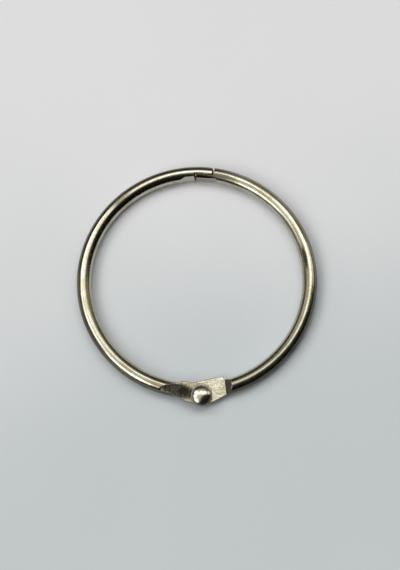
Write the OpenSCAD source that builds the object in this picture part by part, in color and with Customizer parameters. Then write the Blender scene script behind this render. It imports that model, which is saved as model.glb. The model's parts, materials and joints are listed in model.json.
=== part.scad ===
// Hinged loose-leaf ring, closed and lying flat.
// Two half rings of round wire turn on one rivet. Each has a stamped ear at the rivet
// and one tongue of a hooked lap at the closure.
// Millimetres. The origin is the ring's centre on the wire's mid-plane, +Z is the ring's
// axis, and the rivet's axis crosses the -Y axis.

/* [Ring] */
// Clear diameter inside the closed ring
ring_bore = 50; // [38:1:75]
// Diameter of the round wire
wire_d = 3.5; // [3.2:0.1:4]

/* [Hinge ears] */
// Distance from the wire's centre line out to the rivet's axis
pivot_out = 1.3; // [1.2:0.05:1.6]
// Thickness of each stamped ear
ear_t = 1.25; // [1:0.05:1.4]
// Reach of each ear outward from the rivet's axis
ear_out = 2.05; // [2:0.05:2.4]
// Distance from the rivet's axis to where each ear's outer edge leaves the wire
ear_run = 9.6; // [9:0.1:11]
// Radius of each ear's outer end corner
ear_out_r = 1.95; // [1.2:0.05:2]
// Radius of each ear's inner end corner
ear_in_r = 2.2; // [1.5:0.1:2.4]
// Reach of the left ear past the rivet's axis, along the ring
left_ear_end = 2.55; // [2.3:0.05:3]
// Reach of the left ear inward from the rivet's axis
left_ear_in = 2.9; // [2.6:0.05:3.3]
// Further reach inward of the left ear's far corner
left_ear_swell = 0.8; // [0.5:0.05:0.9]
// Distance from the rivet's axis to the far end of the left ear's straight inner edge
left_ear_knee = 4.2; // [3.6:0.1:5]
// Distance from the rivet's axis to where the left ear's inner edge meets the wire
left_ear_foot = 6.8; // [6:0.1:8]
// Reach of the right ear past the rivet's axis, along the ring
right_ear_end = 2.35; // [2.3:0.05:3]
// Reach of the right ear inward from the rivet's axis
right_ear_in = 3.75; // [3.4:0.05:4]
// Further reach inward of the right ear's far corner
right_ear_swell = 0.9; // [0.5:0.05:1.1]
// Distance from the rivet's axis to the right ear's far corner
right_ear_knee = 5.1; // [4.6:0.1:5.4]
// Distance from the rivet's axis to where the right ear's inner edge meets the wire
right_ear_foot = 6; // [5.8:0.1:7]

/* [Stamped faces] */
// Distance from the rivet's axis to the foot of the steep shoulder
shoulder_at = 5.8; // [5.7:0.05:6.4]
// Length of the steep shoulder, along the ring
shoulder_run = 1.5; // [1:0.05:2]
// Angle of the steep shoulder's foot off square
shoulder_skew = 4; // [0:1:8]
// Distance inward from the rivet's axis to the edge of the stamped top face
die_edge = 4.05; // [3.8:0.05:4.3]
// Angle of the stamped top face's edge off the tangent at the rivet
die_skew = 13; // [9:1:15]
// Slope of the bank between the stamped top face and the round wire, in degrees
die_slope = 42; // [30:1:60]

/* [Rivet] */
// Diameter of the rivet's shank
shank_d = 2.2; // [1.8:0.1:2.6]
// Diameter of the domed head
head_d = 4.2; // [3.8:0.05:4.6]
// Height of the head's upright edge above its collar
head_edge = 0.3; // [0.15:0.05:0.5]
// Height of the dome above that edge
dome_h = 0.6; // [0.4:0.05:1.2]
// Diameter of the thin collar
collar_d = 4.9; // [4.7:0.05:5.2]
// Thickness of the collar under the head
collar_t = 0.2; // [0.15:0.05:0.3]
// Diameter of the button peened on the far end
tail_d = 3.6; // [3:0.1:4]
// Height of that button
tail_h = 0.42; // [0.3:0.02:0.44]
// Radial clearance of the shank in each ear
bore_clearance = 0.05; // [0.02:0.01:0.1]
// Clearance along the rivet between the ears, and under its head and button
axial_clearance = 0.04; // [0.02:0.01:0.06]

/* [Closure] */
// Turn of the lap's middle from the point opposite the hinge, towards the right half
lap_turn = 6.2; // [-10:0.2:10]
// Length of the lap along the wire
lap_len = 4.9; // [3.6:0.1:6]
// Width of the gap at the outer tongue's tip
outer_gap = 0.42; // [0.3:0.02:0.6]
// Width of the gap at the inner tongue's tip
inner_gap = 0.3; // [0.2:0.02:0.5]
// Lean of the inner tongue's tip off square, in degrees
inner_lean = 15; // [0:1:25]
// Lean of the lap's cut ends off the ring's axis, in degrees
end_lean = 4; // [0:1:6]
// Size of the chamfer on the outer tongue's tip
tip_chamfer = 0.5; // [0.2:0.05:0.8]
// Distance of the seam between the tongues inward from the wire's centre line
seam_in = 0.45; // [0:0.05:0.5]
// Clearance between the two tongues
seam_gap = 0.08; // [0.05:0.01:0.15]
// Height of the hook on each tongue
hook_rise = 0.3; // [0.2:0.05:0.5]
// Length of the hook's sloping flank
hook_run = 0.6; // [0.4:0.1:1.2]
// Depth of the flat on the inner tongue's inner side
tongue_flat = 0.35; // [0.2:0.05:0.5]
// Length of the inner tongue's flat past the outer gap
tongue_flat_over = 0.3; // [0.1:0.05:0.6]
// Depth of the flat thumb pad on the left half, inside the ring
pad_flat = 0.45; // [0.2:0.05:0.6]
// Length of the thumb pad
pad_len = 2.1; // [1.5:0.1:4]
// Length of the ramp at the thumb pad's far end
pad_ramp = 1.2; // [0.6:0.1:2]
// Angle that the thumb pad turns up towards the top, in degrees
pad_lean = 12; // [0:1:20]

/* [Hidden] */
$fn = 96;
ARC_FN = 240;

wire_r = wire_d / 2;
ring_r = (ring_bore + wire_d) / 2;
pivot_r = ring_r + pivot_out;
shank_r = shank_d / 2;
ear_z = axial_clearance / 2;
head_z = ear_t + axial_clearance;
// Half the wire's width at the height of the stamped face, less a little
ear_flank = sqrt(pow(wire_r, 2) - pow(ear_t, 2)) - 0.05;
lap_angle = 90 - lap_turn;
half_lap = lap_len / 2;

// Room past the wire that a cutting shape reaches
OVER = 1.5;

// Degrees that a length along the wire's centre line spans
function span(length) = length / ring_r * 180 / PI;

// The lap's seam follows the path that the closure takes as the hinge turns
lap_tilt = lap_turn - atan2(ring_r * sin(lap_turn), pivot_r + ring_r * cos(lap_turn));
function seam(x, level) = [x, x * tan(lap_tilt) + level - seam_in];

// Points of a cubic curve through its end points, pulled towards two others
function cubic(p, steps) = [
    for (i = [0 : steps])
        let (t = i / steps, s = 1 - t)
            s * s * s * p[0] + 3 * s * s * t * p[1] + 3 * s * t * t * p[2] + t * t * t * p[3]
];
function arc(centre, r, from, to, steps) = [
    for (i = [0 : steps])
        let (a = from + (to - from) * i / steps)
            centre + r * [cos(a), sin(a)]
];

// A frame on the wire's centre line at an angle round the ring: +X clockwise, +Y outward
module on_wire(angle) {
    rotate([0, 0, angle - 90])
        translate([0, ring_r, 0])
            children();
}

module at_pivot() {
    translate([0, -pivot_r, 0])
        children();
}

// Round wire bent along the ring from one angle to another
module wire(from, to) {
    rotate([0, 0, from])
        rotate_extrude(angle = to - from, $fn = ARC_FN)
            translate([ring_r, 0])
                circle(d = wire_d);
}

// A point left of the rivet's axis, which is the origin, on a circle round the ring's centre
function on_ring(x, r) = [-x, pivot_r - sqrt(r * r - x * x)];

// Plan of an ear that runs to the left of the rivet's axis, which is the origin here
module ear_plan(end, reach_in, swell, knee, foot) {
    outer_edge = cubic([
        on_ring(ear_run, ring_r + ear_flank),
        [-ear_run * 0.73, ear_out * 0.73],
        [-ear_run * 0.46, -ear_out * 0.9],
        [0, -ear_out],
    ], 16);
    outer_corner = arc([end - ear_out_r, ear_out_r - ear_out], ear_out_r, -90, 0, 8);
    inner_corner = arc([end - ear_in_r, reach_in - ear_in_r], ear_in_r, 0, 90, 10);
    inner_edge = [
        [-knee, reach_in + swell],
        on_ring(foot, ring_r - ear_flank),
        on_ring(ear_run, ring_r),
    ];
    polygon(concat(outer_edge, outer_corner, inner_corner, inner_edge));
}

// Everything above the stamped top face, up to the bank that leads to the round wire
module top_die() {
    height = wire_r + OVER;
    at_pivot()
        translate([0, die_edge, ear_t])
            rotate([0, 0, die_skew])
                rotate([90, 0, 90])
                    linear_extrude(height = 4 * ear_run, center = true)
                        polygon([
                            [0, 0],
                            [-4 * ear_out - die_edge, 0],
                            [-4 * ear_out - die_edge, height],
                            [height / tan(die_slope), height],
                        ]);
}

// Everything below the ear's mating face, up to the steep shoulder
module lower_die() {
    depth = wire_r + OVER;
    slope = shoulder_run / wire_r;
    at_pivot()
        rotate([0, 0, -shoulder_skew])
            rotate([90, 0, 0])
                linear_extrude(height = 4 * wire_d, center = true)
                    polygon([
                        [-shoulder_at, ear_z],
                        [-shoulder_at - slope * (depth + ear_z), -depth],
                        [2 * collar_d, -depth],
                        [2 * collar_d, ear_z],
                    ]);
}

// A half ring with its ear at the rivet, cut at its closure by its children.
// It runs from the rivet round the ring's left side to the angle tip.
module half_ring(tip, end, reach_in, swell, knee, foot) {
    difference() {
        union() {
            wire(tip, 270);
            at_pivot()
                translate([0, 0, ear_z])
                    linear_extrude(height = ear_t - ear_z)
                        ear_plan(end, reach_in, swell, knee, foot);
        }
        top_die();
        lower_die();
        at_pivot()
            cylinder(r = shank_r + bore_clearance, h = 4 * wire_d, center = true);
        children();
    }
}

// The lap seen from above: its edge runs from outside the ring, along the seam, to inside.
// gap_out, gap_in and level place one tongue's edge, and chamfer cuts its outer corner.
function lap_edge(gap_out, gap_in, level, chamfer) =
    let (reach = wire_r + OVER, low = level - hook_rise / 2, high = level + hook_rise / 2)
        [
            [half_lap - gap_out - (chamfer > 0 ? chamfer + OVER : 0), reach],
            [half_lap - gap_out, wire_r - chamfer],
            seam(half_lap - gap_out, low),
            seam(hook_run / 2, low),
            seam(-hook_run / 2, high),
            seam(gap_in - half_lap, high),
            [gap_in - half_lap + (reach + high - seam_in) * tan(inner_lean), -reach],
        ];

module lap_cut(edge, side) {
    reach = wire_r + OVER;
    far = side * (half_lap + OVER);
    on_wire(lap_angle)
        rotate([0, -end_lean, 0])
            linear_extrude(height = 2 * reach, center = true)
                polygon(concat(edge, [[far, -reach], [far, reach]]));
}

// A flat on the inner side of the wire, with a ramp at each end that has a length
module inner_flat(depth, from, to, ramp_from, ramp_to) {
    reach = wire_r + OVER;
    linear_extrude(height = 2 * reach, center = true)
        polygon([
            [from - ramp_from, -reach],
            [from - ramp_from, -wire_r],
            [from, depth - wire_r],
            [to, depth - wire_r],
            [to + ramp_to, -wire_r],
            [to + ramp_to, -reach],
        ]);
}

module left_half_ring() {
    pad_mid = half_lap + pad_len / 2;
    color([0.62, 0.60, 0.50])
        half_ring(lap_angle - span(half_lap), left_ear_end, left_ear_in, left_ear_swell,
            left_ear_knee, left_ear_foot) {
            lap_cut(lap_edge(outer_gap, 0, seam_gap / 2, tip_chamfer), 1);
            on_wire(lap_angle + span(pad_mid))
                rotate([-pad_lean, 0, 0])
                    inner_flat(pad_flat, -pad_len / 2, pad_len, pad_ramp, 0);
        }
}

module right_half_ring() {
    color([0.58, 0.56, 0.47])
        rotate([0, 180, 0])
            half_ring(180 - lap_angle - span(half_lap), right_ear_end, right_ear_in,
                right_ear_swell, right_ear_knee, right_ear_foot)
                rotate([0, 180, 0]) {
                    lap_cut(lap_edge(0, inner_gap, -seam_gap / 2, 0), -1);
                    on_wire(lap_angle)
                        inner_flat(tongue_flat, -half_lap - OVER, half_lap + tongue_flat_over,
                            0, tongue_flat);
                }
}

// A cap of a sphere that stands on z = 0, with its base radius and its height
module cap(base_r, height) {
    ball_r = (pow(base_r, 2) + pow(height, 2)) / (2 * height);
    intersection() {
        translate([0, 0, height - ball_r])
            sphere(r = ball_r);
        cylinder(r = base_r, h = height);
    }
}

module hinge_rivet() {
    tail_z = ear_t + axial_clearance;
    color([0.66, 0.64, 0.55])
        at_pivot() {
            translate([0, 0, -tail_z])
                cylinder(d = shank_d, h = tail_z + head_z + collar_t / 2);
            translate([0, 0, head_z])
                cylinder(d = collar_d, h = collar_t);
            translate([0, 0, head_z + collar_t / 2])
                cylinder(d = head_d, h = collar_t / 2 + head_edge);
            translate([0, 0, head_z + collar_t + head_edge])
                cap(head_d / 2, dome_h);
            translate([0, 0, -tail_z])
                mirror([0, 0, 1])
                    cap(tail_d / 2, tail_h);
        }
}

left_half_ring();
right_half_ring();
hinge_rivet();
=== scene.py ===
"""Looks for the hinged binder ring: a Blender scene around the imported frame.

Both half rings get a fine skin that keeps the solid's form, with rounded edges and a
stamped, sandy ear. The rivet is turned from its profile. Lengths inside the functions
are millimetres unless a name ends in _M, and every object is in metres in the frame.
"""

import json
import math

import bpy
import numpy as np
from mathutils import Matrix, Vector, noise


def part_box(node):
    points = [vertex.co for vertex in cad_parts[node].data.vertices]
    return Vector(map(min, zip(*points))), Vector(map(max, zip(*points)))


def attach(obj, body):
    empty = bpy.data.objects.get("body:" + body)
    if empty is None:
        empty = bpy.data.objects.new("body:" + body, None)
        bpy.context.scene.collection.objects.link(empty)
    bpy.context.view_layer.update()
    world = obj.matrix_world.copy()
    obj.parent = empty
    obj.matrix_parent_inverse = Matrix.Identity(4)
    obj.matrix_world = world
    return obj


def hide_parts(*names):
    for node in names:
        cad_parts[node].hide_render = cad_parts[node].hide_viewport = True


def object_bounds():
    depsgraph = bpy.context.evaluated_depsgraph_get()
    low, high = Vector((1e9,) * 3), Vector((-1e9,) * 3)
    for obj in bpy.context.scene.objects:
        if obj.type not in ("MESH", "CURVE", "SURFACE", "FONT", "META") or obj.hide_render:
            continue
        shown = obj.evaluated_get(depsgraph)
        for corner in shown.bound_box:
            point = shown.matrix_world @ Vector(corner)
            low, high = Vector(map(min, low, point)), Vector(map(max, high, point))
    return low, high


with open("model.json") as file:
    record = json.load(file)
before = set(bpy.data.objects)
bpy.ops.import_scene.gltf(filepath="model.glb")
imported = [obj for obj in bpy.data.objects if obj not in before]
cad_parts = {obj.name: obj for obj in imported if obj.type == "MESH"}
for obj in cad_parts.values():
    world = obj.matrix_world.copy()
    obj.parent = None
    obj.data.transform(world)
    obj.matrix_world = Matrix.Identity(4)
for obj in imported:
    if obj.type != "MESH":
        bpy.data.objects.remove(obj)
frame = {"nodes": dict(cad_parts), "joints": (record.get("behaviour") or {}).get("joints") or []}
CAD_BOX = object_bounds()

MM = 0.001

# Sizes taken from the frame
WIRE_R = -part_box("right_half_ring")[0].z / MM
RING_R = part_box("right_half_ring")[1].x / MM - WIRE_R
PIVOT_Y = frame["joints"][0]["pos_m"][1] / MM
RIVET_LOW, RIVET_HIGH = (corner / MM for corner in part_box("hinge_rivet"))

# Rivet
SHANK_R = 1.1
BORE_R = 1.15
COLLAR_T = 0.2
HEAD_R = 2.1
HEAD_EDGE = 0.3
HEAD_ROUND = 0.1
HEAD_UNDER = 1.29
TAIL_R = 1.8

# Skin of the half rings: its grid, and how close to the round wire, and how well facing
# out of it, a point has to be to be put back on it
VOXEL = 0.12
ON_TUBE = (0.02, 0.06)
FACING_TUBE = (0.82, 0.93)
EASE = 0.5
EASE_BACK = 0.4
RELAX_ALL = 4
RELAX_EAR = 6
EAR_ZONE = (9.5, 12.5)

# How far from the pivot the stamping and the shoulder reach
STAMPED_REACH = (9.0, 11.0)
SHOULDER_REACH = (8.5, 9.5)

# Depths pressed into the metal
SAND_DEPTH = 0.1
SWELL_DEPTH = 0.03
DISH_DEPTH = 0.2
MATING_DEPTH = 0.028

# Ellipses on an ear, as centre, half lengths and lean: its dish, and where shade is painted
LEFT_DISH = ((-3.98, -26.9), (1.6, 1.35), 0)
RIGHT_DISH = ((-3.6, -27.1), (1.5, 1.3), 0)
EAR_SHADE_ELLIPSE = ((-5.3, -26.65), (4.6, 1.75), -15.4)

# Marks across the wire, by millimetres beyond its middle: painted shade on its outer side, and a
# dull band of painted shade on its inner flank ending in an edge below, both standing in for
# dark reflections
OUTER_DARK = (0.95, 1.55)
INNER_DULL_SHADE = (0.0, -0.5)
INNER_SHADE_EDGE = (-1.15, -0.85)

# Marks along the wire, by millimetres round from the hinge, negative on the left half: where
# each begins and where it is whole
LEFT_OUTER_SHADE = (-19.0, -30.0)
LEFT_TOP_OUTER_SHADE = (-43.0, -52.0)
RIGHT_TOP_OUTER_SHADE = (72.0, 82.0)
SHADE_HIGHER = (-8.0, 8.0)
KEPT_BRIGHT = (47.0, 62.0)
RUBBED_SHADE_FROM = (3.0, 12.0)
RUBBED_SHADE_TO = (50.0, 36.0)

# Painted dark reflections on the wire's upper side: degrees round from the picture's right,
# millimetres beyond the wire's middle, their half lengths, and how strong they are
LEFT_DARK_REFLECTIONS = ((130, 0.2, 7, 0.8, 0.5),)
RIGHT_DARK_REFLECTIONS = ((9, -0.55, 6.5, 0.45, 1.0), (75, -0.35, 9, 0.55, 0.75))

# Colours of the wire's plating, of the rust on it, and of the shade painted on it
CLEAN = (0.508, 0.495, 0.415, 1)
AGED = (0.40, 0.378, 0.28, 1)
PIT = (0.17, 0.152, 0.095, 1)
# Painted shade on the wire's inner flank, standing in for dark reflections
INNER_SHADE = (0.10, 0.091, 0.055, 1)
# Painted shade on the wire's outer side, standing in for dark reflections
OUTER_SHADE = (0.12, 0.107, 0.067, 1)
# Deeper painted shade on the right half's lower outer side
DEEP_OUTER_SHADE = (0.03, 0.027, 0.018, 1)
# Near-black painted shade on the ear, in its dish, on the shoulder and in the slot, and painted
# dark reflections on the wire
SHADE_BLACK = (0.015, 0.0125, 0.008, 1)
RUST = (0.16, 0.095, 0.06, 1)

# Colours of the rivet, with painted shade round its collar, and of the paper, as lit and shaded
# copies for painted light
RIVET_CLEAN = (0.53, 0.512, 0.43, 1)
RIVET_AGED = (0.39, 0.355, 0.25, 1)
RIVET_CORNER_SHADE = (0.10, 0.09, 0.06, 1)
PAPER_LIT = (0.845, 0.868, 0.928, 1)
PAPER_SHADED = (0.632, 0.688, 0.745, 1)

# Camera, as angles of the photo's view of the ring
CAMERA_TURN = 2.27
CAMERA_TILT = 15.9
CAMERA_SIDE = 5.0
CAMERA_LENS = 120.0
CAMERA_FAR_M = 0.4501
CAMERA_AIM = (0.734, -1.045, 0.0)

# Light: azimuth anticlockwise from the picture's right, angle from the zenith, half
# width in degrees, radiance
LAMP_FAR_M = 2.0
LAMPS = {
    "softbox_south_west": (221, 50, 15, 2.8),
    "softbox_west": (179, 43, 12, 2.3),
    "softbox_north_west": (142, 43, 13, 2.5),
    "softbox_north": (92, 28, 8, 2.7),
    "softbox_north_east": (46, 34, 11, 2.6),
    "softbox_east": (27, 57, 10, 1.3),
    "softbox_overhead_east": (64, 18, 7.5, 2.2),
    "softbox_overhead_west": (132, 21, 7, 2.2),
}
LAMP_TINT = (1.0, 0.98, 0.93)

# Room light: its colour, its level overhead and at the horizon, and how high it changes
SKY_TINT = (1.0, 0.965, 0.88, 1)
SKY_LEVEL = 0.82
SKY_LOW, SKY_HIGH = 0.45, 0.8
SKY_HORIZON = 0.05
# Two lighter places at the horizon and one dark side, as azimuth and zenith, with the
# cosines from them over which each sets in
SKY_EAST = (35, 80)
SKY_EAST_EDGE = (0.5, 0.95)
SKY_EAST_LEVEL = 0.2
SKY_WEST = (190, 78)
SKY_WEST_EDGE = (0.6, 0.95)
SKY_WEST_LEVEL = 0.2
SKY_DARK = (-42, 64)
SKY_DARK_EDGE = (0.34, 0.68)
SKY_DARK_SHARE = 0.03


def smoothstep(low, high, value):
    t = np.clip((value - low) / (high - low), 0.0, 1.0)
    return t * t * (3.0 - 2.0 * t)


def plan_axes():
    """The picture's right and up, in the plane of the ring."""
    turn = math.radians(CAMERA_TURN)
    right = Vector((math.cos(turn), -math.sin(turn), 0.0))
    up = Vector((math.sin(turn), math.cos(turn), 0.0))
    return right, up


def direction(azimuth, zenith):
    """A direction seen from the ring, in degrees round the picture and off the zenith."""
    right, up = plan_axes()
    a, z = math.radians(azimuth), math.radians(zenith)
    flat = math.cos(a) * right + math.sin(a) * up
    return math.sin(z) * flat + math.cos(z) * Vector((0.0, 0.0, 1.0))


# ---- node helpers ----------------------------------------------------------------


def add_node(tree, kind, inputs=None, **settings):
    """A node with its settings, and its inputs set or linked."""
    node = tree.nodes.new("ShaderNode" + kind)
    for name, value in settings.items():
        setattr(node, name, value)
    for name, value in (inputs or {}).items():
        if isinstance(value, bpy.types.NodeSocket):
            tree.links.new(value, node.inputs[name])
        else:
            node.inputs[name].default_value = value
    return node


def math_node(tree, operation, first, second=0.0):
    return add_node(tree, "Math", {0: first, 1: second}, operation=operation).outputs[0]


def times(tree, first, second):
    return math_node(tree, "MULTIPLY", first, second)


def plus(tree, first, second):
    return math_node(tree, "ADD", first, second)


def ramp(tree, value, low, high, out_low=0.0, out_high=1.0):
    """Smoothly from out_low to out_high as value goes from low to high."""
    inputs = {
        "Value": value,
        "From Min": low,
        "From Max": high,
        "To Min": out_low,
        "To Max": out_high,
    }
    node = add_node(tree, "MapRange", inputs, interpolation_type="SMOOTHSTEP")
    return node.outputs["Result"]


def mixed(tree, share, first, second):
    """Colour that goes from first to second with share."""
    inputs = {"Factor": share, 6: first, 7: second}
    node = add_node(tree, "Mix", inputs, data_type="RGBA")
    return node.outputs[2]


def noise_of(tree, where, scale, detail=2.0, roughness=0.5):
    inputs = {
        "Vector": where,
        "Scale": scale,
        "Detail": detail,
        "Roughness": roughness,
    }
    return add_node(tree, "TexNoise", inputs).outputs["Fac"]


def bumped(tree, height, depth_mm, normal=None):
    inputs = {"Height": height, "Distance": depth_mm * MM}
    if normal is not None:
        inputs["Normal"] = normal
    return add_node(tree, "Bump", inputs).outputs["Normal"]


def attribute(tree, name):
    return add_node(tree, "Attribute", attribute_name=name).outputs["Fac"]


def millimetres(tree):
    """The piece's own coordinates, in millimetres."""
    own = add_node(tree, "TexCoord").outputs["Object"]
    node = add_node(tree, "VectorMath", {0: own, "Scale": 1 / MM}, operation="SCALE")
    return node.outputs["Vector"]


def new_material(name):
    material = bpy.data.materials.new(name)
    material.use_nodes = True
    tree = material.node_tree
    tree.nodes.clear()
    shader = add_node(tree, "BsdfPrincipled")
    out = add_node(tree, "OutputMaterial")
    tree.links.new(shader.outputs["BSDF"], out.inputs["Surface"])
    return material, tree, shader


def feed(tree, shader, **sockets):
    for name, value in sockets.items():
        tree.links.new(value, shader.inputs[name.replace("_", " ")])


# ---- materials -------------------------------------------------------------------


def flat_distance(tree, x, y):
    """The distance from the origin on the plan."""
    return math_node(tree, "SQRT", plus(tree, times(tree, x, x), times(tree, y, y)))


def along_wire(tree, where):
    """Coordinates along the wire, out from the ring's centre and up, in millimetres."""
    x, y, z = add_node(tree, "SeparateXYZ", {"Vector": where}).outputs
    # The angle starts at the hinge, so its jump lies at the closure
    angle = math_node(tree, "ARCTAN2", x, times(tree, y, -1.0))
    return times(tree, angle, RING_R), flat_distance(tree, x, y), z


def brushing(tree, where):
    """Fine marks across the wire."""
    arc, out, z = along_wire(tree, where)
    inputs = {
        "X": times(tree, arc, 3.4),
        "Y": times(tree, out, 0.45),
        "Z": times(tree, z, 0.45),
    }
    lines = add_node(tree, "CombineXYZ", inputs).outputs["Vector"]
    return noise_of(tree, lines, 1.0, 3.0, 0.65)


def outer_painted_shade(tree, beyond, arc, cloud):
    """How much painted shade lies on the wire's outer side, standing in for dark reflections
    there.
    """
    # It reaches further in on the left half, most of all towards the closure
    reach = beyond
    for stretch, further in (
        (LEFT_OUTER_SHADE, 0.3),
        (LEFT_TOP_OUTER_SHADE, 0.3),
        (RIGHT_TOP_OUTER_SHADE, 0.6),
    ):
        reach = plus(tree, reach, ramp(tree, arc, *stretch, 0.0, further))
    patchy = ramp(tree, cloud, 0.3, 0.7, 1.0, 0.8)
    return times(tree, ramp(tree, reach, *OUTER_DARK), patchy)


def inner_dull_shade(tree, beyond, arc):
    """How much painted shade and dullness lies on the wire's inner flank, standing in for dark
    reflections: least by the closure, on one half.
    """
    # The dull band of painted shade reaches higher on the right half
    lean = plus(tree, beyond, ramp(tree, arc, *SHADE_HIGHER, 0.0, -0.15))
    side = times(tree, ramp(tree, lean, *INNER_DULL_SHADE), ramp(tree, beyond, *INNER_SHADE_EDGE))
    return times(tree, side, ramp(tree, arc, *KEPT_BRIGHT, 1.0, 0.0))


def wire_marks(tree, where):
    """What shows where on the wire, each from 0 to 1."""
    arc, out, _ = along_wire(tree, where)
    beyond = math_node(tree, "SUBTRACT", out, RING_R)
    cloud = noise_of(tree, where, 0.33, 3.0)
    spots = noise_of(tree, where, 3.8, 3.0, 0.7)
    fine = noise_of(tree, where, 3.1, 4.0, 0.7)
    round_wire = attribute(tree, "round_wire")
    patch_shade = times(tree, attribute(tree, "patch_shade"), ramp(tree, spots, 0.64, 0.5, 0.6, 1.0))
    return {
        "aged": ramp(tree, cloud, 0.42, 0.68),
        "dulled_and_shaded": times(tree, inner_dull_shade(tree, beyond, arc), round_wire),
        # Painted shade on the outer side
        "outer_shaded": times(tree, outer_painted_shade(tree, beyond, arc, cloud), round_wire),
        # The right half's lower quarter is the most worn, and its outer side carries the deepest
        # painted shade
        "rubbed_and_shaded": times(tree, ramp(tree, arc, *RUBBED_SHADE_FROM), ramp(tree, arc, *RUBBED_SHADE_TO)),
        # Painted shade on the ear, in its dish, on the shoulder and in the slot, and painted
        # dark reflections on the wire
        "painted_shade": math_node(tree, "MAXIMUM", patch_shade, attribute(tree, "recess_shade")),
        "rusted": attribute(tree, "rust"),
        "specks": ramp(tree, fine, 0.66, 0.74),
    }


def wire_tone(tree, marks, stamped, grain):
    """The plating's colour under its marks, with painted shade and painted dark reflections laid
    over it.
    """
    pitted = times(tree, stamped, ramp(tree, grain, 0.58, 0.42, 0.0, 0.8))
    # The outer painted shade, deeper where the wire is most worn
    darkened = mixed(tree, marks["rubbed_and_shaded"], OUTER_SHADE, DEEP_OUTER_SHADE)
    tone = mixed(tree, marks["aged"], CLEAN, AGED)
    # Painted shade on the inner flank
    tone = mixed(tree, times(tree, marks["dulled_and_shaded"], 0.9), tone, INNER_SHADE)
    # Painted shade on the outer side, deeper on the right half's lower quarter
    tone = mixed(tree, marks["outer_shaded"], tone, darkened)
    tone = mixed(tree, pitted, tone, PIT)
    # Painted shade and painted dark reflections, nearly black
    tone = mixed(tree, marks["painted_shade"], tone, SHADE_BLACK)
    tone = mixed(tree, times(tree, marks["rusted"], 0.7), tone, RUST)
    return mixed(tree, times(tree, marks["specks"], 0.5), tone, AGED)


def wire_roughness(tree, marks, stamped, grain, brush):
    """Bright, duller where it is stamped, and duller again under each mark."""
    worn = times(tree, stamped, ramp(tree, grain, 0.35, 0.65, 0.12, 0.3))
    rough = plus(tree, ramp(tree, brush, 0.3, 0.7, 0.12, 0.22), worn)
    for name, more in (("dulled_and_shaded", 0.07), ("rubbed_and_shaded", 0.03), ("specks", 0.1), ("painted_shade", 0.3)):
        rough = plus(tree, rough, times(tree, marks[name], more))
    return rough


def plated_wire():
    """Nickel-plated wire: bright, finely brushed across, sandy where it was stamped."""
    material, tree, shader = new_material("nickel_plated_wire")
    where = millimetres(tree)
    stamped = attribute(tree, "stamped")
    brush = brushing(tree, where)
    grain = noise_of(tree, where, 5.5, 3.0, 0.6)
    marks = wire_marks(tree, where)
    tone = wire_tone(tree, marks, stamped, grain)
    rough = wire_roughness(tree, marks, stamped, grain, brush)
    # Where shade is painted nearly black it isn't metal, and hardly shines
    metallic = ramp(tree, marks["painted_shade"], 0.0, 1.0, 1.0, 0.0)
    shader.inputs["Specular IOR Level"].default_value = 0.15
    normal = bumped(tree, brush, 0.006)
    normal = bumped(tree, noise_of(tree, where, 1.1, 2.0), 0.012, normal)
    normal = bumped(tree, times(tree, stamped, grain), 0.06, normal)
    feed(tree, shader, Base_Color=tone, Roughness=rough, Metallic=metallic, Normal=normal)
    return material


def off_axis(tree, where):
    """The distance from the rivet's axis, in millimetres."""
    x, y, _ = add_node(tree, "SeparateXYZ", {"Vector": where}).outputs
    return flat_distance(tree, x, math_node(tree, "SUBTRACT", y, PIVOT_Y))


def plated_rivet():
    """The same plating, polished by its dome-shaped tool, with painted shade round its collar.
    """
    material, tree, shader = new_material("nickel_plated_rivet")
    where = millimetres(tree)
    cloud = noise_of(tree, where, 0.7, 3.0)
    grain = noise_of(tree, where, 7.0, 3.0, 0.6)
    tone = mixed(tree, ramp(tree, cloud, 0.42, 0.72), RIVET_CLEAN, RIVET_AGED)
    around = off_axis(tree, where)
    # Painted shade in the corner between the dome and the collar
    corner = ramp(tree, around, HEAD_R - 0.12, HEAD_R + 0.02, 0.0, 0.85)
    tone = mixed(tree, corner, tone, RIVET_CORNER_SHADE)
    rough = ramp(tree, grain, 0.35, 0.7, 0.11, 0.19)
    rough = plus(tree, rough, times(tree, corner, 0.2))
    normal = bumped(tree, grain, 0.006)
    normal = bumped(tree, noise_of(tree, where, 1.6, 1.0), 0.02, normal)
    shader.inputs["Metallic"].default_value = 1.0
    feed(tree, shader, Base_Color=tone, Roughness=rough, Normal=normal)
    return material


def paper():
    """A pale sheet with painted light, a little lighter towards the picture's upper left, and
    faint mottling.
    """
    material, tree, shader = new_material("pale_paper")
    where = millimetres(tree)
    right, up = plan_axes()
    inputs = {0: where, 1: (0.25 * right - up).normalized()}
    lit_side = add_node(tree, "VectorMath", inputs, operation="DOT_PRODUCT").outputs["Value"]
    cloud = noise_of(tree, where, 0.012, 2.0)
    fibre = noise_of(tree, where, 2.2, 4.0, 0.6)
    # Painted light: lighter towards the picture's upper left, with faint random mottling
    share = plus(tree, ramp(tree, lit_side, -60.0, 60.0), cloud)
    tone = mixed(tree, ramp(tree, share, 0.4, 1.6), PAPER_LIT, PAPER_SHADED)
    shader.inputs["Roughness"].default_value = 0.85
    shader.inputs["Specular IOR Level"].default_value = 0.2
    feed(tree, shader, Base_Color=tone, Normal=bumped(tree, fibre, 0.01))
    return material


# ---- half rings ------------------------------------------------------------------


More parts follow.
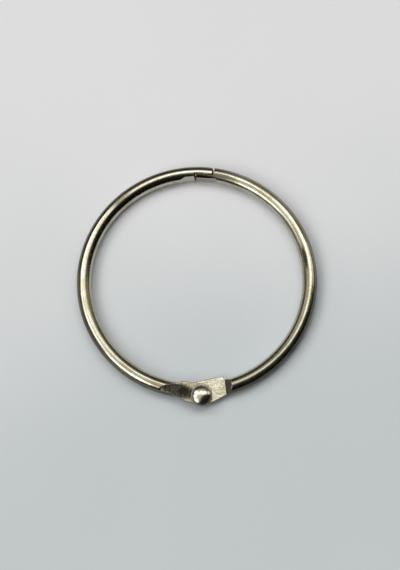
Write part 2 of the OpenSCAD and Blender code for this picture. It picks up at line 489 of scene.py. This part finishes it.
def skin_of(node):
    """A fine, even skin over a node's mesh: its points, in millimetres, and its faces."""
    mesh = frame["nodes"][node].data.copy()
    mesh.transform(Matrix.Scale(1 / MM, 4))
    source = bpy.data.objects.new("skin_source", mesh)
    bpy.context.scene.collection.objects.link(source)
    weld = source.modifiers.new("weld", "WELD")
    weld.merge_threshold = 1e-4
    skin = source.modifiers.new("skin", "REMESH")
    skin.mode = "VOXEL"
    skin.voxel_size = VOXEL
    graph = bpy.context.evaluated_depsgraph_get()
    result = bpy.data.meshes.new_from_object(source.evaluated_get(graph))
    bpy.data.objects.remove(source)
    bpy.data.meshes.remove(mesh)
    return result


def read_points(mesh):
    flat = np.empty(len(mesh.vertices) * 3)
    mesh.vertices.foreach_get("co", flat)
    return flat.reshape(-1, 3)


def read_normals(mesh):
    flat = np.empty(len(mesh.vertices) * 3)
    mesh.vertices.foreach_get("normal", flat)
    return flat.reshape(-1, 3)


def read_edges(mesh):
    flat = np.empty(len(mesh.edges) * 2, dtype=np.int32)
    mesh.edges.foreach_get("vertices", flat)
    return flat.reshape(-1, 2)


def relaxed(points, edges, weight, rounds):
    """Points eased towards their neighbours' middle and back, which rounds the edges."""
    ends = np.concatenate([edges[:, 0], edges[:, 1]])
    others = np.concatenate([edges[:, 1], edges[:, 0]])
    size = len(points)
    count = np.bincount(ends, minlength=size)
    for step in (EASE, -EASE_BACK) * rounds:
        sums = [np.bincount(ends, points[others, k], size) for k in range(3)]
        middle = np.stack(sums, axis=1) / count[:, None]
        points = points + step * weight[:, None] * (middle - points)
    return points


def off_tube(points):
    """How far each point is from the wire's round surface, its place there, and the way out."""
    flat = np.hypot(points[:, 0], points[:, 1])
    centre = points * np.array([1.0, 1.0, 0.0]) * (RING_R / flat)[:, None]
    out = points - centre
    reach = np.linalg.norm(out, axis=1)
    out = out / reach[:, None]
    return np.abs(reach - WIRE_R), centre + out * WIRE_R, out


def onto_tube(points, normals):
    """Puts the skin's points back on the exact round wire, where it is wire."""
    gap, surface, out = off_tube(points)
    share = 1.0 - smoothstep(*ON_TUBE, gap)
    share *= smoothstep(*FACING_TUBE, np.sum(normals * out, axis=1))
    return points + share[:, None] * (surface - points)


def onto_bore(points):
    """The hole for the shank is made exactly round again."""
    flat = points[:, :2] - np.array([0.0, PIVOT_Y])
    reach = np.linalg.norm(flat, axis=1)
    near = reach < BORE_R + 0.05
    scale = np.where(near, BORE_R / np.maximum(reach, 1e-6), 1.0)
    points[:, :2] = np.array([0.0, PIVOT_Y]) + flat * scale[:, None]
    return points


def perlin(points, scale, seed):
    shift = Vector((seed * 17.3, seed * 5.1, seed * 9.7))
    return np.array([noise.noise(Vector(p) * scale + shift) for p in points])


def from_pivot(points):
    return np.hypot(points[:, 0], points[:, 1] - PIVOT_Y)


def off_wire(points, normals, gap_low=0.03, gap_high=0.12):
    """1 where a surface isn't the round wire's, by its place or by the way it faces."""
    gap, _, out = off_tube(points)
    on_place = 1.0 - smoothstep(gap_low, gap_high, gap)
    return 1.0 - on_place * smoothstep(0.86, 0.97, np.sum(normals * out, axis=1))


def stamped_share(points, normals):
    """1 on an ear's stamped top face and its banks, 0 on the round wire."""
    near = 1.0 - smoothstep(*STAMPED_REACH, from_pivot(points))
    above = smoothstep(0.25, 0.75, points[:, 2]) * smoothstep(-0.2, 0.3, normals[:, 2])
    return near * above * off_wire(points, normals)


def mating_share(points, normals):
    """1 on the ear's flat mating face, which is pressed smoother than its top."""
    level = 1.0 - smoothstep(0.1, 0.2, np.abs(points[:, 2]))
    return level * smoothstep(0.7, 0.95, -normals[:, 2])


def shoulder_share(points, normals):
    """1 on the steep shoulder between the mating face and the full wire."""
    near = 1.0 - smoothstep(*SHOULDER_REACH, from_pivot(points))
    below = smoothstep(-0.05, 0.1, -points[:, 2]) * smoothstep(-0.2, 0.1, -normals[:, 2])
    return near * below * off_wire(points, normals, 0.05, 0.15)


def pressed_share(points, normals):
    """1 on the flats pressed into the ring's inner side at the lap."""
    flat = np.hypot(points[:, 0], points[:, 1])
    outward = (points[:, 0] * normals[:, 0] + points[:, 1] * normals[:, 1]) / flat
    return smoothstep(0.6, 0.8, -outward) * smoothstep(0.8, 1.1, RING_R - flat)


def cut_share(points, normals):
    """1 on the lap's sheared faces, painted dark as shade in the narrow slot."""
    at_lap = smoothstep(RING_R - 4.0, RING_R - 3.5, points[:, 1])
    return at_lap * off_wire(points, normals) * (1.0 - pressed_share(points, normals))


def in_ellipse(points, centre, reach, lean):
    """Distance from an ellipse's centre on the plan, with 1 on its edge."""
    a = math.radians(lean)
    x, y = points[:, 0] - centre[0], points[:, 1] - centre[1]
    along = (x * math.cos(a) + y * math.sin(a)) / reach[0]
    over = (y * math.cos(a) - x * math.sin(a)) / reach[1]
    return np.hypot(along, over)


def sand_of(points, seed):
    """Coarse sand, about 0 on average."""
    return 0.6 * perlin(points, 2.1, seed) + 0.55 * perlin(points, 4.0, seed + 1)


def ear_relief(points, share, dish, seed):
    """Height of the stamped face: sand, a slow swell and one smooth dish, and where it is."""
    at = np.flatnonzero(share > 0.01)
    some = points[at]
    sand = sand_of(some, seed)
    swell = perlin(some, 0.55, seed + 2)
    # The dish's rim is irregular
    r = in_ellipse(some, *dish) + 0.35 * perlin(some, 1.2, seed + 3)
    inside = 1.0 - smoothstep(0.6, 1.15, r)
    bowl = np.clip(1.0 - r * np.abs(r), 0.0, 1.0)
    depth = np.zeros(len(points))
    rough = SAND_DEPTH * (sand - 0.35) + SWELL_DEPTH * (swell - 0.5)
    depth[at] = share[at] * (rough * (1.0 - 0.7 * inside) - DISH_DEPTH * bowl)
    smooth = np.zeros(len(points))
    smooth[at] = inside
    return depth, smooth


def mating_relief(points, share, seed):
    """The same sand, much shallower and only cut in, so that the ears never meet."""
    at = np.flatnonzero(share > 0.01)
    depth = np.zeros(len(points))
    sand = np.clip(0.5 + sand_of(points[at], seed), 0.0, 1.2)
    depth[at] = -MATING_DEPTH * share[at] * sand
    return depth


def tongue_share(points):
    """1 on the inner tongue, which has rusted a little where it rubs."""
    turn = np.degrees(np.arctan2(points[:, 0], points[:, 1]))
    inner = 1.0 - smoothstep(RING_R - 0.4, RING_R, np.hypot(points[:, 0], points[:, 1]))
    return inner * smoothstep(0.6, 1.4, turn) * (1.0 - smoothstep(9.0, 13.0, turn))


def dark_reflection_share(points, reflections):
    """1 inside a painted dark reflection on the wire's upper side, fading at its rim."""
    around = np.degrees(np.arctan2(points[:, 1], points[:, 0]))
    beyond = np.hypot(points[:, 0], points[:, 1]) - RING_R
    total = np.zeros(len(points))
    for angle, out, half_angle, half_width, strength in reflections:
        r = np.hypot((around - angle) / half_angle, (beyond - out) / half_width)
        spot = strength * (1.0 - smoothstep(0.5, 1.2, r)) * (points[:, 2] > 0)
        total = np.maximum(total, spot)
    return total


def set_attribute(mesh, name, values):
    layer = mesh.attributes.new(name, "FLOAT", "POINT")
    layer.data.foreach_set("value", values.astype(np.float32))


def eased(mesh, flip):
    """The skin's points, with rounded edges but exact on the wire and in the bore."""
    points = read_points(mesh) * flip
    normals = read_normals(mesh) * flip
    edges = read_edges(mesh)
    everywhere = np.ones(len(points))
    points = relaxed(points, edges, everywhere, RELAX_ALL)
    near_ear = 1.0 - smoothstep(*EAR_ZONE, from_pivot(points))
    points = relaxed(points, edges, near_ear, RELAX_EAR)
    return onto_bore(onto_tube(points, normals)), normals


def half_ring(name, node, body, turned, dish, reflections, seed, material):
    """One half: the skin of its solid, round where it is wire, with its stamped ear."""
    mesh = skin_of(node)
    mesh.name = name
    # The right half is worked upside down, so that its ear is treated as the left one's
    flip = np.array([-1.0, 1.0, -1.0]) if turned else np.ones(3)
    points, normals = eased(mesh, flip)
    share = stamped_share(points, normals)
    mating = mating_share(points, normals)
    depth, smooth = ear_relief(points, share, dish, seed)
    depth = depth + mating_relief(points, mating, seed)
    # Painted shade over the stamped ear, inside an ellipse
    painted_shade = share * (1.0 - smoothstep(0.7, 1.15, in_ellipse(points, *EAR_SHADE_ELLIPSE)))
    before = points
    points = points + normals * depth[:, None]
    mesh.vertices.foreach_set("co", (points * flip * MM).ravel())
    set_attribute(mesh, "stamped", share * (1.0 - 0.75 * smooth) + 0.3 * mating)
    # Painted dark reflections on the wire's upper side join the ear's painted shade
    spot_and_ear_shade = 0.95 * painted_shade + 0.9 * dark_reflection_share(points * flip, reflections)
    # Painted shade in the ear's dish, on the shoulder's steep face and on the lap's sheared
    # faces in the slot
    recess_shade = painted_shade * smooth + 0.9 * shoulder_share(points, normals)
    recess_shade = recess_shade + cut_share(points, normals)
    rust = tongue_share(points * flip) if turned else 0.0 * share
    pressed = pressed_share(points, normals)
    set_attribute(mesh, "patch_shade", np.clip(spot_and_ear_shade, 0.0, 1.0))
    set_attribute(mesh, "recess_shade", np.clip(recess_shade, 0.0, 1.0))
    set_attribute(mesh, "rust", rust * (1.0 - pressed))
    set_attribute(mesh, "round_wire", 1.0 - off_wire(before, normals, 0.05, 0.15))
    return place(name, mesh, node, body, material)


def place(name, mesh, node, body, material):
    """Puts a finished mesh in the scene in place of its node."""
    mesh.update()
    mesh.polygons.foreach_set("use_smooth", [True] * len(mesh.polygons))
    mesh.materials.clear()
    mesh.materials.append(material)
    piece = bpy.data.objects.new(name, mesh)
    bpy.context.scene.collection.objects.link(piece)
    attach(piece, body)
    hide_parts(node)
    return piece


# ---- rivet -----------------------------------------------------------------------


def cap_profile(base_r, height, z, way, steps):
    """From a cap's rim to its top, as (radius, height) pairs."""
    ball = (base_r**2 + height**2) / (2 * height)
    edge = math.asin(base_r / ball) if height <= base_r else math.pi / 2
    pairs = []
    for i in range(steps + 1):
        a = edge * (1 - i / steps)
        lift = ball * math.cos(a) - (ball - height)
        pairs.append((ball * math.sin(a), z + way * lift))
    return pairs


def rounded(r, z, radius, from_deg, to_deg, steps=5):
    pairs = []
    for i in range(steps + 1):
        a = math.radians(from_deg + (to_deg - from_deg) * i / steps)
        pairs.append((r + radius * math.cos(a), z + radius * math.sin(a)))
    return pairs


def softened(profile, radius):
    """The same profile with its second point, a corner, rounded."""
    start, corner, after = Vector(profile[0]), Vector(profile[1]), Vector(profile[5])
    back = corner + (start - corner).normalized() * radius
    on = corner + (after - corner).normalized() * radius
    curve = []
    for i in range(6):
        t = i / 5
        point = back * (1 - t) ** 2 + corner * 2 * t * (1 - t) + on * t**2
        curve.append(tuple(point))
    rest = [pair for pair in profile[2:] if pair[0] < on.x - 0.01]
    return curve + rest


def rivet_profile():
    """From the button's middle, out and up round the shank and the collar, to the dome's top."""
    collar_r = (RIVET_HIGH.x - RIVET_LOW.x) / 2
    tail_h = -HEAD_UNDER - RIVET_LOW.z
    dome_z = HEAD_UNDER + COLLAR_T
    edge = COLLAR_T * 0.45
    tail = cap_profile(TAIL_R, tail_h, -HEAD_UNDER, -1, 16)
    profile = tail[::-1]
    profile += [(SHANK_R + 0.05, -HEAD_UNDER), (SHANK_R, -HEAD_UNDER + 0.05)]
    profile += [(SHANK_R, HEAD_UNDER - 0.05), (SHANK_R + 0.05, HEAD_UNDER)]
    profile += rounded(collar_r - edge, HEAD_UNDER + edge, edge, -90, 0)
    profile += rounded(collar_r - edge, dome_z - edge, edge, 0, 90)
    profile += [(HEAD_R + 0.04, dome_z), (HEAD_R, dome_z + 0.04)]
    cap_z = dome_z + HEAD_EDGE
    cap = cap_profile(HEAD_R, RIVET_HIGH.z - cap_z, cap_z, 1, 40)
    profile += softened([(HEAD_R, dome_z + HEAD_EDGE * 0.5)] + cap, HEAD_ROUND)
    return profile


def turned_mesh(name, profile, sides):
    """A mesh turned from a profile about the rivet's axis."""
    points, faces = [], []
    for r, z in profile[1:-1]:
        for k in range(sides):
            a = 2 * math.pi * k / sides
            points.append((r * math.cos(a), PIVOT_Y + r * math.sin(a), z))
    rings = len(profile) - 2
    for i in range(rings - 1):
        for k in range(sides):
            j = (k + 1) % sides
            a, b = i * sides, (i + 1) * sides
            faces.append((a + k, a + j, b + j, b + k))
    low, high = len(points), len(points) + 1
    points.append((0.0, PIVOT_Y, profile[0][1]))
    points.append((0.0, PIVOT_Y, profile[-1][1]))
    last = (rings - 1) * sides
    for k in range(sides):
        j = (k + 1) % sides
        faces.append((low, j, k))
        faces.append((high, last + k, last + j))
    mesh = bpy.data.meshes.new(name)
    mesh.from_pydata([[v * MM for v in p] for p in points], [], faces)
    return mesh


def rivet(material):
    mesh = turned_mesh("domed_rivet", rivet_profile(), 144)
    piece = place("domed_rivet", mesh, "hinge_rivet", "left_half", material)
    return piece


# ---- stage -----------------------------------------------------------------------


def paper_floor():
    half, z = 3.0, CAD_BOX[0].z - 0.002 * MM
    corners = [(-half, -half, z), (half, -half, z), (half, half, z), (-half, half, z)]
    mesh = bpy.data.meshes.new("paper_floor")
    mesh.from_pydata(corners, [], [(0, 1, 2, 3)])
    mesh.materials.append(paper())
    floor = bpy.data.objects.new("paper_floor", mesh)
    bpy.context.scene.collection.objects.link(floor)


def softbox(name, azimuth, zenith, half_width, radiance):
    light = bpy.data.lights.new(name, "AREA")
    light.shape = "DISK"
    light.size = 2 * LAMP_FAR_M * math.tan(math.radians(half_width))
    light.energy = radiance * math.pi * math.pi * (light.size / 2) ** 2
    light.color = LAMP_TINT
    lamp = bpy.data.objects.new(name, light)
    towards = direction(azimuth, zenith)
    lamp.location = towards * LAMP_FAR_M
    lamp.rotation_mode = "QUATERNION"
    lamp.rotation_quaternion = towards.to_track_quat("Z", "Y")
    bpy.context.scene.collection.objects.link(lamp)


def facing(tree, where, azimuth, zenith):
    """The cosine between a direction seen and one that is given."""
    inputs = {0: where, 1: direction(azimuth, zenith)}
    return add_node(tree, "VectorMath", inputs, operation="DOT_PRODUCT").outputs["Value"]


def sky():
    """A dim room, darker at the horizon and on the side where the photographer stood."""
    world = bpy.data.worlds.new("room")
    bpy.context.scene.world = world
    world.use_nodes = True
    tree = world.node_tree
    tree.nodes.clear()
    where = add_node(tree, "TexCoord").outputs["Generated"]
    height = add_node(tree, "SeparateXYZ", {"Vector": where}).outputs["Z"]
    east = ramp(tree, facing(tree, where, *SKY_EAST), *SKY_EAST_EDGE)
    west = ramp(tree, facing(tree, where, *SKY_WEST), *SKY_WEST_EDGE)
    dark = facing(tree, where, *SKY_DARK)
    low = plus(
        tree,
        ramp(tree, east, 0.0, 1.0, SKY_HORIZON, SKY_EAST_LEVEL),
        times(tree, west, SKY_WEST_LEVEL),
    )
    room = ramp(tree, height, SKY_LOW, SKY_HIGH, low, SKY_LEVEL)
    shade = ramp(tree, dark, *SKY_DARK_EDGE, 1.0, SKY_DARK_SHARE)
    level = times(tree, room, shade)
    glow = add_node(tree, "Background", {"Color": SKY_TINT, "Strength": level})
    out = add_node(tree, "OutputWorld")
    tree.links.new(glow.outputs["Background"], out.inputs["Surface"])


def camera():
    right, up = plan_axes()
    side, tilt = math.radians(CAMERA_SIDE), math.radians(CAMERA_TILT)
    flat = math.sin(side) * right - math.cos(side) * up
    back = math.sin(tilt) * flat + math.cos(tilt) * Vector((0.0, 0.0, 1.0))
    across = up.cross(back).normalized()
    over = back.cross(across)
    data = bpy.data.cameras.new("camera")
    data.lens = CAMERA_LENS
    data.clip_start, data.clip_end = 0.01, 20.0
    eye = bpy.data.objects.new("camera", data)
    turn = Matrix((across, over, back)).transposed()
    place_at = Vector(CAMERA_AIM) * MM + back * CAMERA_FAR_M
    eye.matrix_world = Matrix.Translation(place_at) @ turn.to_4x4()
    bpy.context.scene.collection.objects.link(eye)
    bpy.context.scene.camera = eye


wire_metal = plated_wire()
half_ring(
    "left_wire_half", "left_half_ring", "left_half", False,
    LEFT_DISH, LEFT_DARK_REFLECTIONS, 1, wire_metal,
)
half_ring(
    "right_wire_half", "right_half_ring", "right_half", True,
    RIGHT_DISH, RIGHT_DARK_REFLECTIONS, 5, wire_metal,
)
rivet(plated_rivet())
paper_floor()
for lamp_name, (azimuth, zenith, half_width, radiance) in LAMPS.items():
    softbox(lamp_name, azimuth, zenith, half_width, radiance)
sky()
camera()
bpy.context.scene.view_settings.view_transform = "Standard"
